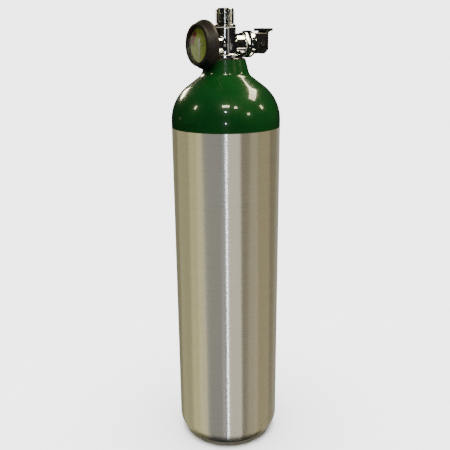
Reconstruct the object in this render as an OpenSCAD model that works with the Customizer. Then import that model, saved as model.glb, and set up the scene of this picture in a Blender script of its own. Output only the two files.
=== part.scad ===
// Portable high-pressure breathing-gas cylinder with a flip-lever valve and a pressure gauge.
// Millimetres, +Z up, origin at the centre of the base.
// The gauge points along -X, the lever is on the +X side and the safety plug faces +Y.

/* [Cylinder] */
// Outside diameter of the barrel
tank_d = 111.2; // [105:0.1:134]
// Height from the base to the top of the neck
tank_h = 419; // [300:1:700]
// Wall of the barrel
tank_wall = 5.4; // [4:0.1:8]
// Thickness of the base
base_thick = 9; // [7:0.5:14]
// Radius of the outer corner round the base
base_round = 19; // [12:0.5:24]
// Radius of the arc between barrel and shoulder
shoulder_round = 42.6; // [38:0.1:46]
// Slope of the shoulder's upper cone, in degrees from level
shoulder_slope = 37; // [33:1:40]
// Diameter of the top of the neck
neck_d = 40; // [40:0.5:44]
// Height of the neck above the shoulder's cone
neck_h = 16.1; // [14:0.1:24]
// Widening of the neck towards its foot, on the radius
neck_flare = 4.2; // [2:0.1:6]
// Height of the lower edge of the enamel below the neck's top
enamel_drop = 67.5; // [62:0.5:90]
// Thickness of the enamel
enamel_thick = 0.3; // [0.2:0.05:0.5]

/* [Neck thread and valve] */
// Outside diameter of the neck thread
neck_thread_d = 28.58; // [26:0.01:28.6]
// Pitch of the neck thread
neck_pitch = 2.117; // [1.8:0.001:2.4]
// Full turns of thread on the valve's stem
neck_turns = 9; // [7:1:10]
// Height of the valve's cross axis above the neck's top
valve_rise = 13; // [12:0.1:16]
// Diameter of the valve's upright barrel
barrel_d = 21.6; // [20.8:0.1:23]
// Height of the valve body above the neck's top
body_h = 28.7; // [28:0.1:32]
// Diameter of the outlet's thread
outlet_d = 19.05; // [18:0.05:20]
// Pitch of the outlet's thread
outlet_pitch = 1.5875; // [1.25:0.0005:1.75]
// Height of the outlet above the valve body, with its flange
outlet_h = 18.5; // [17.5:0.1:24]
// Diameter of the outlet's mouth
outlet_bore_d = 11; // [9:0.1:11.5]

/* [Bonnet and lever] */
// Distance from the cylinder's axis to the bonnet's hexagon
bonnet_x = 19; // [19:0.1:22]
// Diameter of the bonnet's collar
collar_d = 26.6; // [24:0.1:28]
// Length of the bonnet outside the valve body
bonnet_len = 12; // [11:0.1:14]
// Diameter of the spindle
spindle_d = 6; // [5.5:0.1:7.2]
// Angle the lever flips through
lever_turn = 90; // [60:1:90]
// Lift of the spindle when the lever is flipped
lever_lift = 1.6; // [1:0.1:2]
// Distance from the thrust washer to the lever's pin
pin_reach = 8.4; // [8:0.1:10]
// Diameter of the lever's pin
pin_d = 3; // [2.5:0.1:3.6]
// Width of the lever across its cheeks
lever_w = 16; // [15:0.1:20]
// Height of the lever's thumb tab above its pin
tab_rise = 15.4; // [13:0.1:18]

/* [Gauge] */
// Gap between the boot's rounded back edge and the neck
boot_gap = 0.15; // [0.1:0.05:4]
// Outside diameter of the gauge case
case_d = 36.8; // [36.5:0.1:44.2]
// Thickness of the rubber boot round the front of the case
boot_wall = 1.8; // [1.5:0.1:3]
// Extra radius of the boot at its back
boot_flare = 3.2; // [0:0.1:4]
// Angle the pointer sweeps from empty to full
pointer_sweep = 270; // [180:1:270]

/* [Hidden] */
$fn = 96;

aluminium = [0.68, 0.67, 0.62];
enamel = [0.05, 0.26, 0.10];
chrome = [0.85, 0.86, 0.88];
brass = [0.78, 0.62, 0.30];
steel = [0.62, 0.63, 0.65];
rubber = [0.07, 0.07, 0.08];
nylon = [0.92, 0.91, 0.86];

eps = 0.01;
// Gap between pieces that slide or turn on each other
run_gap = 0.05;
// Gap between the crests of a male thread and the roots of its female thread
thread_gap = 0.1;
thread_depth_share = 0.61;

// ---------- general outlines ----------

function arc(centre, r, from, to, steps) =
  [for (i = [0 : steps]) let (a = from + (to - from) * i / steps) centre + r * [cos(a), sin(a)]];

// Quadratic curve from a to b, pulled towards the corner
function corner_curve(a, corner, b, steps) =
  [for (i = [0 : steps]) let (t = i / steps) (1 - t) ^ 2 * a + 2 * t * (1 - t) * corner + t ^ 2 * b];

function reversed(points) = [for (i = [len(points) - 1 : -1 : 0]) points[i]];

// Side of a screw thread as [radius, height] points, with flat crests, from height z0 upwards
function thread_side(crest_r, pitch, turns, z0) =
  [for (i = [0 : turns - 1], p = [[1, 0], [1, 0.25], [0, 0.5], [0, 0.75]])
    [crest_r - p[0] * thread_depth_share * pitch, z0 + (i + p[1]) * pitch]];

module ring(outer_r, inner_r, z0, z1) {
  translate([0, 0, z0])
    difference() {
      cylinder(r = outer_r, h = z1 - z0);
      translate([0, 0, -1]) cylinder(r = inner_r, h = z1 - z0 + 2);
    }
}

// Hexagonal prism with chamfered corners
module hex_nut(across_flats, z0, z1) {
  corner_r = across_flats / sqrt(3);
  chamfer = corner_r - across_flats / 2;
  intersection() {
    translate([0, 0, z0]) cylinder(r = corner_r, h = z1 - z0, $fn = 6);
    rotate_extrude()
      polygon([[0, z0], [corner_r - chamfer, z0], [corner_r, z0 + chamfer * 0.6],
               [corner_r, z1 - chamfer * 0.6], [corner_r - chamfer, z1], [0, z1]]);
  }
}

module o_ring(centre_r, section_r, z) {
  rotate_extrude() translate([centre_r, z]) circle(r = section_r, $fn = 32);
}

// ---------- cylinder and enamel ----------

tank_r = tank_d / 2;
neck_r = neck_d / 2;
neck_foot_r = neck_r + neck_flare;
neck_chamfer = 1.2;
neck_draft = neck_flare / neck_h;
arc_end = 90 - shoulder_slope;
arc_x = tank_r - shoulder_round;
arc_tip = shoulder_round * [cos(arc_end), sin(arc_end)];
// Height of the centre of the shoulder's arc, set so that its cone meets the foot of the neck
arc_z = tank_h - neck_h - (arc_x + arc_tip.x - neck_foot_r) * tan(shoulder_slope) - arc_tip.y;
// Lower edge of the enamel, always on the straight barrel
enamel_z = min(tank_h - enamel_drop, arc_z - 2);

// Side of the shoulder and neck, from the enamel's edge to the neck's chamfer, moved out by t.
// The enamel lies flush with the bare barrel, so the metal under it is moved in.
function shoulder_side(t) =
  let (slope = tan(shoulder_slope),
       tip = [arc_x, arc_z] + (shoulder_round + t) * [cos(arc_end), sin(arc_end)],
       foot_z = (tip.y + slope * (tip.x - neck_r - t - tank_h * neck_draft)) / (1 - neck_draft * slope),
       foot = [neck_r + t + (tank_h - foot_z) * neck_draft, foot_z],
       fillet = 3.2,
       below = foot + fillet * [cos(shoulder_slope), -sin(shoulder_slope)],
       above = foot + fillet * [-neck_draft, 1] / norm([neck_draft, 1]),
       rim_z = tank_h - neck_chamfer)
  concat(
    [[tank_r + t, enamel_z]],
    arc([arc_x, arc_z], shoulder_round + t, 0, arc_end, 16),
    corner_curve(below, foot, above, 6),
    [[neck_r + t + neck_chamfer * neck_draft, rim_z]]);

gland_r = neck_thread_d / 2 + 2.75;
gland_depth = 2.4;
stem_len = neck_turns * neck_pitch;

module cylinder_shell() {
  cavity_r = tank_r - tank_wall;
  cavity_round = base_round - tank_wall;
  dome_r = shoulder_round - tank_wall;
  throat_r = neck_thread_d / 2 + thread_gap - thread_depth_share * neck_pitch;
  throat_angle = acos((throat_r - arc_x) / dome_r);
  throat_z = arc_z + dome_r * sin(throat_angle);
  thread_turns = floor((tank_h - throat_z) / neck_pitch);
  color(aluminium)
    rotate_extrude()
      polygon(concat(
        [[0, 0]],
        arc([tank_r - base_round, base_round], base_round, -90, 0, 12),
        [[tank_r, enamel_z]],
        shoulder_side(-enamel_thick),
        [[neck_r - neck_chamfer, tank_h], [gland_r, tank_h], [gland_r, tank_h - gland_depth]],
        reversed(thread_side(neck_thread_d / 2 + thread_gap, neck_pitch, thread_turns,
                             tank_h - gland_depth - thread_turns * neck_pitch)),
        reversed(arc([arc_x, arc_z], dome_r, 0, throat_angle, 16)),
        reversed(arc([cavity_r - cavity_round, base_thick + cavity_round], cavity_round, -90, 0, 10)),
        [[0, base_thick]]));
}

module shoulder_enamel() {
  color(enamel)
    rotate_extrude()
      polygon(concat(shoulder_side(0), reversed(shoulder_side(-enamel_thick))));
}

module neck_o_ring() {
  section_r = 1.15;
  color(rubber) o_ring(gland_r - section_r - 0.1, section_r, tank_h - gland_depth / 2);
}

// ---------- valve body ----------

valve_z = tank_h + valve_rise;
body_top = tank_h + body_h;
barrel_r = barrel_d / 2;
flange_r = gland_r + 0.4;
flange_h = 3.6;
flange_chamfer = 0.8;
stem_bottom = tank_h - gland_depth - stem_len;
screen_r = 10.4;
screen_depth = 7;
// Back of the rubber boot and of the gauge case in it, as distances from the cylinder's axis.
// The boot's rounded back edge clears the neck, which flares below it.
boot_front_r = case_d / 2 + boot_wall;
boot_back_r = boot_front_r + boot_flare;
boot_edge = 2;
boot_back_wall = 1;
boot_edge_z = valve_z - boot_back_r + boot_edge;
boot_back = neck_r + (tank_h - boot_edge_z) * neck_draft
  + (boot_edge + boot_gap) * norm([1, neck_draft]) - boot_edge;
gauge_x = boot_back + boot_back_wall;
port_x = gauge_x - 5;
seat_x = 5;
chamber_r = 6.2;
bonnet_thread_r = 7.4;
bonnet_thread_len = 7;
riser_x = 7.4;
riser_r = 2;
gauge_riser_x = -7.4;
gauge_riser_r = 1.5;
orifice_r = 2.1;
lip_r = orifice_r + 0.8;
lip_h = 0.6;
riser_z = stem_bottom + screen_depth - 1;
outlet_thread_r = 7.5;
outlet_thread_len = 8.5;
plug_x = -6.6;
plug_z = tank_h + 10.8;
plug_face = 14;
plug_port_r = 4.5;
plug_seat = 7;

// Turns a piece drawn upwards so that it points along +X, at the height of the valve's axis
module along_x() {
  translate([0, 0, valve_z]) rotate([0, 90, 0]) children();
}

// The same towards -X. The piece's own +X then points up.
module along_gauge() {
  translate([0, 0, valve_z]) rotate([0, -90, 0]) children();
}

// Turns a piece drawn upwards so that it points along +Y, on the safety plug's axis
module along_plug() {
  translate([plug_x, 0, plug_z]) rotate([-90, 0, 0]) children();
}

module valve_body() {
  shoulder_taper = 0.8;
  wrench_flats = barrel_d - 1.4;
  color(chrome)
    difference() {
      union() {
        rotate_extrude()
          polygon(concat(
            [[0, stem_bottom]],
            thread_side(neck_thread_d / 2, neck_pitch, neck_turns, stem_bottom),
            [[neck_thread_d / 2 - 1.3, tank_h - gland_depth], [neck_thread_d / 2 - 1.3, tank_h],
             [flange_r, tank_h], [flange_r, tank_h + flange_h - flange_chamfer],
             [flange_r - flange_chamfer, tank_h + flange_h],
             [0, tank_h + flange_h]]));
        intersection() {
          rotate_extrude()
            polygon([[0, tank_h + 1], [barrel_r, tank_h + 1],
                     [barrel_r, body_top - shoulder_taper], [barrel_r - shoulder_taper, body_top],
                     [0, body_top]]);
          translate([-barrel_r, -wrench_flats / 2, tank_h])
            cube([barrel_d, wrench_flats, body_h]);
        }
        along_x() cylinder(r = barrel_r - 0.4, h = bonnet_x);
        along_gauge() cylinder(r = barrel_r - 1.6, h = port_x);
        along_plug() cylinder(r = 7.6, h = plug_face);
      }
      // screened inlet with its two risers
      translate([0, 0, stem_bottom - 1]) cylinder(r = screen_r, h = screen_depth + 1);
      // The riser to the valve ends in the chamber, below the seat's lip and clear of the seat's wall
      translate([riser_x, 0, riser_z])
        cylinder(r = riser_r, h = valve_z - (chamber_r + lip_r) / 2 - riser_z);
      translate([gauge_riser_x, 0, riser_z])
        cylinder(r = gauge_riser_r, h = valve_z - riser_z);
      // seat, valve chamber and bonnet thread
      along_x() translate([0, 0, -orifice_r]) cylinder(r = orifice_r, h = seat_x + 3);
      along_x() ring(chamber_r, lip_r, seat_x, seat_x + lip_h + eps);
      along_x() translate([0, 0, seat_x + lip_h]) cylinder(r = chamber_r, h = bonnet_x);
      along_x() translate([0, 0, bonnet_x - bonnet_thread_len]) cylinder(r = bonnet_thread_r, h = bonnet_x);
      // outlet passage
      translate([0, 0, valve_z - orifice_r]) cylinder(r = 3.8, h = body_h);
      translate([0, 0, body_top - outlet_thread_len]) cylinder(r = outlet_thread_r, h = body_h);
      // gauge port
      along_gauge() translate([0, 0, -gauge_riser_x]) cylinder(r = 4.5, h = port_x);
      // safety port
      along_plug() cylinder(r = 1.5, h = plug_face + 1);
      along_plug() translate([0, 0, plug_seat]) cylinder(r = plug_port_r, h = plug_face);
    }
}

module neck_tube_profile() {
  tube_r = 4;
  tube_bottom = stem_bottom - 36;
  polygon([[tube_r - 1, tube_bottom], [tube_r, tube_bottom + 1], [tube_r, stem_bottom + 1],
           [screen_r, stem_bottom + 1], [screen_r, stem_bottom + 3], [tube_r - 1, stem_bottom + 3]]);
}

module anti_debris_tube() {
  color(brass) rotate_extrude() neck_tube_profile();
}

// ---------- outlet ----------

gasket_h = 0.8;
outlet_r = outlet_d / 2;
outlet_z = body_top + gasket_h;
outlet_top = body_top + outlet_h;
outlet_flange_h = 2.4;
outlet_turns = floor((outlet_h - gasket_h - outlet_flange_h - 2.2) / outlet_pitch);
outlet_bore_z = outlet_z + outlet_flange_h;
filter_r = 4.4;
filter_z = body_top - 6;

module outlet_gasket() {
  color(nylon) ring(outlet_r + 1, outlet_thread_r + run_gap, body_top, outlet_z);
}

module outlet_connector() {
  thread_z = outlet_bore_z + 0.8;
  thread_top = thread_z + outlet_turns * outlet_pitch;
  relief_r = outlet_r - thread_depth_share * outlet_pitch;
  shank_r = outlet_thread_r - run_gap;
  shank_bottom = body_top - outlet_thread_len + 0.3;
  color(chrome)
    rotate_extrude()
      polygon(concat(
        [[filter_r, shank_bottom], [shank_r, shank_bottom], [shank_r, outlet_z],
         [outlet_r + 1.2, outlet_z], [outlet_r + 1.2, outlet_bore_z - 0.6], [outlet_r + 0.6, outlet_bore_z],
         [relief_r, outlet_bore_z]],
        thread_side(outlet_r, outlet_pitch, outlet_turns, thread_z),
        [[relief_r, thread_top], [relief_r, outlet_top - 0.8], [relief_r - 0.8, outlet_top],
         [outlet_bore_d / 2 + 0.6, outlet_top], [outlet_bore_d / 2, outlet_top - 0.6],
         [outlet_bore_d / 2, outlet_bore_z], [filter_r, outlet_bore_z - 1]]));
}

module outlet_filter() {
  color(brass) translate([0, 0, filter_z]) cylinder(r = filter_r, h = 2.5);
}

// ---------- bonnet, spindle and lever ----------

bonnet_end = bonnet_x + bonnet_len;
spindle_r = spindle_d / 2;
seal_x = bonnet_end - 5;
seal_section_r = 0.85;
seal_groove_r = spindle_r + run_gap + 2 * seal_section_r + 0.1;
spring_seat_r = 5.3;
spring_start = seat_x + 5;
spring_end = bonnet_x - 0.5;
washer_h = 1.2;
washer_end = bonnet_end + washer_h;
pin_x = washer_end + pin_reach;
eye_half = 3.2;
lever_gap = 0.15;
// Side view of the lever, measured from its pin: its web's inner and outer faces and its tab
web_x = 5.2;
edge_x = 8.8;
tab_x = 14.6;
tab_h = 2.9;

module bonnet() {
  hex_len = 3.6;
  hex_flats = 22;
  edge = 1.2;
  collar_r = collar_d / 2;
  color(chrome)
    along_x()
      difference() {
        union() {
          translate([0, 0, bonnet_x - bonnet_thread_len + 0.5])
            cylinder(r = bonnet_thread_r - run_gap, h = bonnet_thread_len + gasket_h);
          hex_nut(hex_flats, bonnet_x + gasket_h, bonnet_x + gasket_h + hex_len);
          rotate_extrude()
            polygon([[0, bonnet_x + hex_len], [collar_r - edge, bonnet_x + hex_len + gasket_h],
                     [collar_r, bonnet_x + hex_len + gasket_h + edge], [collar_r, bonnet_end - edge],
                     [collar_r - edge, bonnet_end], [0, bonnet_end]]);
        }
        cylinder(r = spindle_r + run_gap, h = bonnet_end + 1);
        translate([0, 0, seat_x]) cylinder(r = spring_seat_r, h = spring_end - seat_x);
        ring(seal_groove_r, spindle_r, seal_x - 1.1, seal_x + 1.1);
      }
}

module bonnet_gasket() {
  color(nylon) along_x() ring(10, bonnet_thread_r + run_gap, bonnet_x, bonnet_x + gasket_h);
}

module spindle_o_ring() {
  color(rubber) along_x() o_ring(spindle_r + run_gap + seal_section_r, seal_section_r, seal_x);
}

module spindle() {
  head_r = 4.6;
  eye_r = 4;
  color(steel)
    difference() {
      union() {
        along_x() translate([0, 0, seat_x + 2]) cylinder(r = head_r, h = spring_start - seat_x - 2);
        along_x() translate([0, 0, seat_x + 2]) cylinder(r = spindle_r, h = pin_x - seat_x - 2 - eye_r);
        translate([pin_x, eye_half, valve_z])
          rotate([90, 0, 0]) cylinder(r = eye_r, h = 2 * eye_half);
        translate([pin_x - eye_r - 1.5, -eye_half, valve_z - spindle_r])
          cube([eye_r + 1.5, 2 * eye_half, spindle_d]);
      }
      along_x() translate([0, 0, seat_x + 1]) cylinder(r = 3.4, h = 2);
      translate([pin_x, eye_half + 1, valve_z])
        rotate([90, 0, 0]) cylinder(r = pin_d / 2, h = 2 * eye_half + 2);
    }
}

module seat_disc() {
  color(nylon) along_x() translate([0, 0, seat_x + lip_h]) cylinder(r = 3.4, h = 2.4);
}

// Round wire wound round +Z, as one closed sweep
module wire_coil(coil_r, wire_r, z0, z1, turns) {
  per_turn = 20;
  sides = 8;
  steps = turns * per_turn;
  points = [for (i = [0 : steps], j = [0 : sides - 1])
    let (a = 360 * i / per_turn, b = 360 * j / sides, r = coil_r + wire_r * cos(b))
      [r * cos(a), r * sin(a), z0 + (z1 - z0) * i / steps + wire_r * sin(b)]];
  sides_faces = [for (i = [0 : steps - 1], j = [0 : sides - 1])
    let (k = (j + 1) % sides)
      [i * sides + j, i * sides + k, (i + 1) * sides + k, (i + 1) * sides + j]];
  start_cap = [[for (j = [sides - 1 : -1 : 0]) j]];
  end_cap = [[for (j = [0 : sides - 1]) steps * sides + j]];
  polyhedron(points, concat(sides_faces, start_cap, end_cap));
}

module closing_spring() {
  wire_r = 0.4;
  color(steel)
    along_x() wire_coil((spindle_r + spring_seat_r) / 2, wire_r,
                        spring_start + wire_r, spring_end - wire_r, 5);
}

module thrust_washer() {
  color(brass) along_x() ring(9.5, spindle_r + 0.3, bonnet_end, washer_end);
}

// Side view of a lever cheek, with its pin at the origin, +X away from the cylinder and +Y up.
// Its lower inner corner is a cam of constant lead: turning it by a moves the pin out by
// lever_lift * a / lever_turn.
module cheek_outline() {
  low_x = -(pin_reach - lever_gap);
  lead = lever_lift / lever_turn * 180 / PI;
  cam = [for (i = [0 : 18])
    let (a = lever_turn * i / 18,
         out = [-cos(a), -sin(a)],
         along = [sin(a), -cos(a)])
      (pin_reach - lever_gap + lever_lift * a / lever_turn) * out + lead * along];
  bottom_x = 3.6;
  bevel = 4.2;
  flare_y = tab_rise - 4.8;
  shelf_y = tab_rise - tab_h + 0.1;
  polygon(concat(
    [[low_x, flare_y]],
    cam,
    [[bottom_x, cam[18].y], [edge_x, cam[18].y + bevel], [edge_x, flare_y], [edge_x + 3.2, shelf_y],
     [edge_x - 1, shelf_y], [edge_x - 2.8, flare_y]]));
}

module toggle_lever() {
  tab_back = 7.4;
  slot = 2 * eye_half + 0.8;
  color([0.06, 0.06, 0.07])
    difference() {
      union() {
        translate([pin_x, lever_w / 2, valve_z])
          rotate([90, 0, 0]) linear_extrude(lever_w) cheek_outline();
        translate([pin_x + edge_x - tab_back, -lever_w / 2, valve_z + tab_rise - tab_h])
          cube([tab_x - edge_x + tab_back, lever_w, tab_h]);
      }
      translate([pin_x - 20, -slot / 2, valve_z - 20]) cube([20 + web_x, slot, 20 + tab_rise - tab_h]);
      translate([pin_x, lever_w / 2 + 1, valve_z])
        rotate([90, 0, 0]) cylinder(r = pin_d / 2 + run_gap, h = lever_w + 2);
    }
}

clip_gap = 0.3;
clip_h = 0.7;
pin_half = lever_w / 2 + clip_gap + clip_h + 0.3;

module lever_pin() {
  color(steel)
    translate([pin_x, pin_half, valve_z]) rotate([90, 0, 0]) cylinder(r = pin_d / 2, h = 2 * pin_half);
}

module pin_clips() {
  color(steel)
    for (side = [-1, 1])
      translate([pin_x, side * (lever_w / 2 + clip_gap + clip_h / 2), valve_z])
        rotate([90, 0, 0]) ring(pin_d / 2 + 1.1, pin_d / 2, -clip_h / 2, clip_h / 2);
}

// ---------- gauge: heights are distances from the cylinder's axis towards -X ----------

case_r = case_d / 2;
case_wall = 0.8;
case_back = 0.8;
entry_r = 5;
hex_back = port_x + gasket_h;
block_z = gauge_x + case_back;
block_h = 1.2;
plate_h = 0.6;
lower_plate_z = block_z + block_h;
pillar_h = 3.2;
upper_plate_z = lower_plate_z + plate_h + pillar_h;
dial_z = upper_plate_z + plate_h;
dial_h = 0.5;
pointer_z = dial_z + dial_h + 0.6;
pointer_h = 0.3;
lens_z = dial_z + dial_h + 1.7;
lens_h = 1.2;
bezel_z = lens_z + lens_h;
bezel_h = 0.6;
boot_front = bezel_z + bezel_h + 0.6;
dial_r = case_r - case_wall - 0.2;
window_r = dial_r - 0.85;

// Involute gears of the movement
gear_module = 0.3;
pinion_teeth = 12;
sector_teeth = 48;
pressure_angle = 20;
gear_backlash = 0.05;
addendum = 0.8 * gear_module;
dedendum = 1.15 * gear_module;
pinion_pitch_r = gear_module * pinion_teeth / 2;
sector_pitch_r = gear_module * sector_teeth / 2;
gear_distance = pinion_pitch_r + sector_pitch_r;
sector_sweep = pointer_sweep * pinion_teeth / sector_teeth;
gear_z = lower_plate_z + plate_h + 0.9;
gear_h = 0.7;
arbor_r = 0.5;
tail_len = 2.4;
tail_angle = 120;
link_z = gear_z + gear_h + 0.25;
link_h = 0.4;

// Bourdon tube, wound about the gauge's axis
bourdon_r = 13.2;
bourdon_section = [1.4, 1.9];
bourdon_z = lower_plate_z + 0.2;
bourdon_tip_angle = 130;
foot_half = 2.4;
pillars = [[0, -6.2], [5, 11]];
pillar_r = 1;
screw_r = 0.5;

function polar(r, a) = r * [cos(a), sin(a)];
// Angle turned by an involute of base radius base_r out to radius r
function involute_angle(base_r, r) =
  let (k = sqrt(max(0, (r / base_r) ^ 2 - 1))) k * 180 / PI - atan(k);

// One gear tooth, standing on +X
module gear_tooth(teeth) {
  pitch_r = gear_module * teeth / 2;
  base_r = pitch_r * cos(pressure_angle);
  root_r = pitch_r - dedendum;
  tip_r = pitch_r + addendum;
  start_r = max(base_r, root_r);
  half_pitch = 90 / teeth - gear_backlash / 2 / pitch_r * 90 / PI;
  half_base = half_pitch + involute_angle(base_r, pitch_r);
  flank = [for (i = [0 : 6])
    let (r = start_r + (tip_r - start_r) * i / 6) polar(r, -half_base + involute_angle(base_r, r))];
  mirrored = [for (p = reversed(flank)) [p.x, -p.y]];
  polygon(concat([polar(root_r - 0.1, -half_base)], flank, mirrored, [polar(root_r - 0.1, half_base)]));
}

module gauge_seal() {
  color(nylon) along_gauge() ring(7, 4.5, port_x, hex_back);
}

module bourdon_solid() {
  rotate([0, 0, bourdon_tip_angle])
    rotate_extrude(angle = 354 - bourdon_tip_angle)
      translate([bourdon_r - bourdon_section.x / 2, bourdon_z]) square(bourdon_section);
}

module gauge_socket() {
  color(brass)
    along_gauge()
      difference() {
        union() {
          translate([0, 0, -gauge_riser_x + 1.6]) cylinder(r = 4.5 - run_gap, h = hex_back + gauge_riser_x);
          hex_nut(11, hex_back, gauge_x);
          translate([0, 0, gauge_x - 1]) cylinder(r = entry_r, h = case_back + 2);
          translate([0, 0, block_z]) cylinder(r = 6.5, h = block_h);
          translate([0, -foot_half, block_z])
            cube([bourdon_r + bourdon_section.x / 2 + 0.8, 2 * foot_half, block_h]);
          translate([bourdon_r - bourdon_section.x / 2 - 1, -foot_half, block_z])
            cube([bourdon_section.x + 1.8, 2 * foot_half, bourdon_z + bourdon_section.y + 0.4 - block_z]);
        }
        bourdon_solid();
        cylinder(r = 1.2, h = block_z + block_h / 2);
      }
}

module gauge_case() {
  color(steel)
    along_gauge()
      difference() {
        translate([0, 0, gauge_x]) cylinder(r = case_r, h = bezel_z - gauge_x);
        translate([0, 0, block_z]) cylinder(r = case_r - case_wall, h = bezel_z);
        translate([0, 0, gauge_x - 1]) cylinder(r = entry_r, h = case_back + 2);
      }
}

module gauge_boot() {
  front_edge = 1.2;
  color(rubber)
    along_gauge()
      rotate_extrude()
        polygon(concat(
          [[8, boot_back]],
          arc([boot_back_r - boot_edge, boot_back + boot_edge], boot_edge, -90, 0, 6),
          arc([boot_front_r - front_edge, boot_front - front_edge], front_edge, 0, 90, 6),
          [[window_r + 0.4, boot_front], [window_r, boot_front - 0.4], [window_r, bezel_z + bezel_h],
           [case_r, bezel_z + bezel_h], [case_r, gauge_x], [8, gauge_x]]));
}

module bourdon_tube() {
  plug = [bourdon_section.x + 0.6, 1.2, bourdon_section.y];
  color(brass)
    along_gauge() {
      bourdon_solid();
      rotate([0, 0, bourdon_tip_angle])
        translate([bourdon_r - plug.x / 2, -plug.y, bourdon_z]) cube(plug);
    }
}

module plate_outline() {
  half = 2.2;
  first = pillars[0];
  last = pillars[1];
  translate(first) circle(r = half);
  translate([-half, first.y]) square([2 * half, last.y - first.y]);
  translate([0, last.y]) circle(r = half);
  translate(last) circle(r = 1.6);
  translate([0, last.y - 1.6]) square([last.x, 3.2]);
}

module movement_plates() {
  color(brass)
    along_gauge()
      difference() {
        union() {
          for (z = [lower_plate_z, upper_plate_z])
            translate([0, 0, z]) linear_extrude(plate_h) plate_outline();
          for (p = pillars)
            translate([p.x, p.y, lower_plate_z]) cylinder(r = pillar_r, h = pillar_h + 2 * plate_h);
        }
        for (p = [[0, 0], [0, gear_distance]])
          translate([p.x, p.y, lower_plate_z - 1]) cylinder(r = arbor_r + run_gap, h = pillar_h + 4);
        for (p = pillars)
          translate([p.x, p.y, dial_z - 2]) cylinder(r = screw_r, h = 3);
      }
}

module sector_outline() {
  margin = 6;
  first = 270 - margin;
  last = 270 + sector_sweep + margin;
  tooth_pitch = 360 / sector_teeth;
  root_r = sector_pitch_r - dedendum;
  count = floor(margin / tooth_pitch + 0.5);
  rim = 1.1;
  circle(r = 1.3, $fn = 48);
  difference() {
    polygon(concat([[0, 0]], arc([0, 0], root_r, first, last, 20)));
    polygon(concat(
      arc([0, 0], root_r - rim, first + 12, last - 12, 12),
      reversed(arc([0, 0], 2.8, first + 24, last - 24, 4))));
  }
  for (i = [-count : round(sector_sweep / tooth_pitch) + count])
    rotate(270 + i * tooth_pitch) gear_tooth(sector_teeth);
  rotate(tail_angle) translate([0, -0.6]) square([tail_len, 1.2]);
  translate(polar(tail_len, tail_angle)) circle(r = 0.9, $fn = 32);
}

module sector_gear() {
  tail = polar(tail_len, tail_angle);
  color(brass)
    along_gauge() translate([0, gear_distance, 0]) {
      translate([0, 0, gear_z]) linear_extrude(gear_h) sector_outline();
      translate([0, 0, lower_plate_z + 0.1]) cylinder(r = arbor_r, h = pillar_h + 2 * plate_h - 0.2);
      translate([tail.x, tail.y, gear_z]) cylinder(r = 0.4, h = link_z + link_h + 0.15 - gear_z);
    }
}

module movement_link() {
  tail = [0, gear_distance] + polar(tail_len, tail_angle);
  tip = polar(bourdon_r, bourdon_tip_angle);
  span = tip - tail;
  color(steel)
    along_gauge()
      translate([tail.x, tail.y, link_z])
        rotate([0, 0, atan2(span.y, span.x)])
          linear_extrude(link_h)
            difference() {
              union() {
                circle(r = 0.9, $fn = 32);
                translate([0, -0.45]) square([norm(span), 0.9]);
                translate([norm(span), 0]) circle(r = 0.9, $fn = 32);
              }
              circle(r = 0.4 + run_gap, $fn = 32);
              translate([norm(span), 0]) circle(r = 0.4 + run_gap, $fn = 32);
            }
}

module pinion_arbor() {
  color(steel)
    along_gauge() {
      translate([0, 0, gear_z - 0.3])
        linear_extrude(gear_h + 0.6) {
          circle(r = pinion_pitch_r - dedendum, $fn = 48);
          // a space between teeth faces the sector, whose tooth faces the pinion
          for (i = [0 : pinion_teeth - 1])
            rotate(90 + (i + 0.5) * 360 / pinion_teeth) gear_tooth(pinion_teeth);
        }
      translate([0, 0, lower_plate_z + 0.1]) cylinder(r = arbor_r, h = pointer_z + pointer_h + 0.2 - lower_plate_z);
    }
}

// Flat spiral round the arbor
module hairspring() {
  turns = 4;
  steps = turns * 24;
  inner_r = 1.1;
  outer_r = 4.2;
  half = 0.08;
  spine = [for (i = [0 : steps]) [inner_r + (outer_r - inner_r) * i / steps, 360 * i / 24]];
  color(steel)
    along_gauge()
      translate([0, 0, upper_plate_z - 0.9])
        linear_extrude(0.5)
          polygon(concat([for (s = spine) polar(s[0] + half, s[1])],
                         reversed([for (s = spine) polar(s[0] - half, s[1])])));
}

module gauge_dial() {
  color([0.72, 0.80, 0.22])
    along_gauge()
      difference() {
        translate([0, 0, dial_z]) cylinder(r = dial_r, h = dial_h);
        translate([0, 0, dial_z - 1]) cylinder(r = 1.2, h = dial_h + 2);
        for (p = pillars) translate([p.x, p.y, dial_z - 1]) cylinder(r = screw_r, h = dial_h + 2);
      }
}

module dial_screws() {
  color(steel)
    along_gauge()
      for (p = pillars)
        translate([p.x, p.y, 0]) {
          translate([0, 0, dial_z - 2]) cylinder(r = screw_r, h = 2 + dial_h);
          difference() {
            translate([0, 0, dial_z + dial_h]) cylinder(r = 1, h = 0.5);
            translate([-1.5, -0.15, dial_z + dial_h + 0.25]) cube([3, 0.3, 1]);
          }
        }
}

// The pointer stands at full scale, which is at the bottom of the dial
module gauge_pointer() {
  reach = window_r - 4;
  tail = 5.5;
  color([0.92, 0.92, 0.88])
    along_gauge()
      translate([0, 0, pointer_z])
        linear_extrude(pointer_h)
          difference() {
            union() {
              circle(r = 1.9, $fn = 48);
              polygon([[tail, -1.2], [tail, 1.2], [0, 0.8], [-reach, 0.2], [-reach, -0.2], [0, -0.8]]);
            }
            circle(r = arbor_r, $fn = 32);
          }
}

module lens_gasket() {
  color(rubber) along_gauge() ring(case_r - case_wall, dial_r - 0.8, dial_z + dial_h, lens_z);
}

module gauge_lens() {
  color([0.85, 0.90, 0.90, 0.35])
    along_gauge() translate([0, 0, lens_z]) cylinder(r = case_r - case_wall, h = lens_h);
}

module gauge_bezel() {
  color(steel) along_gauge() ring(case_r, window_r, bezel_z, bezel_z + bezel_h);
}

// ---------- safety plug ----------

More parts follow.
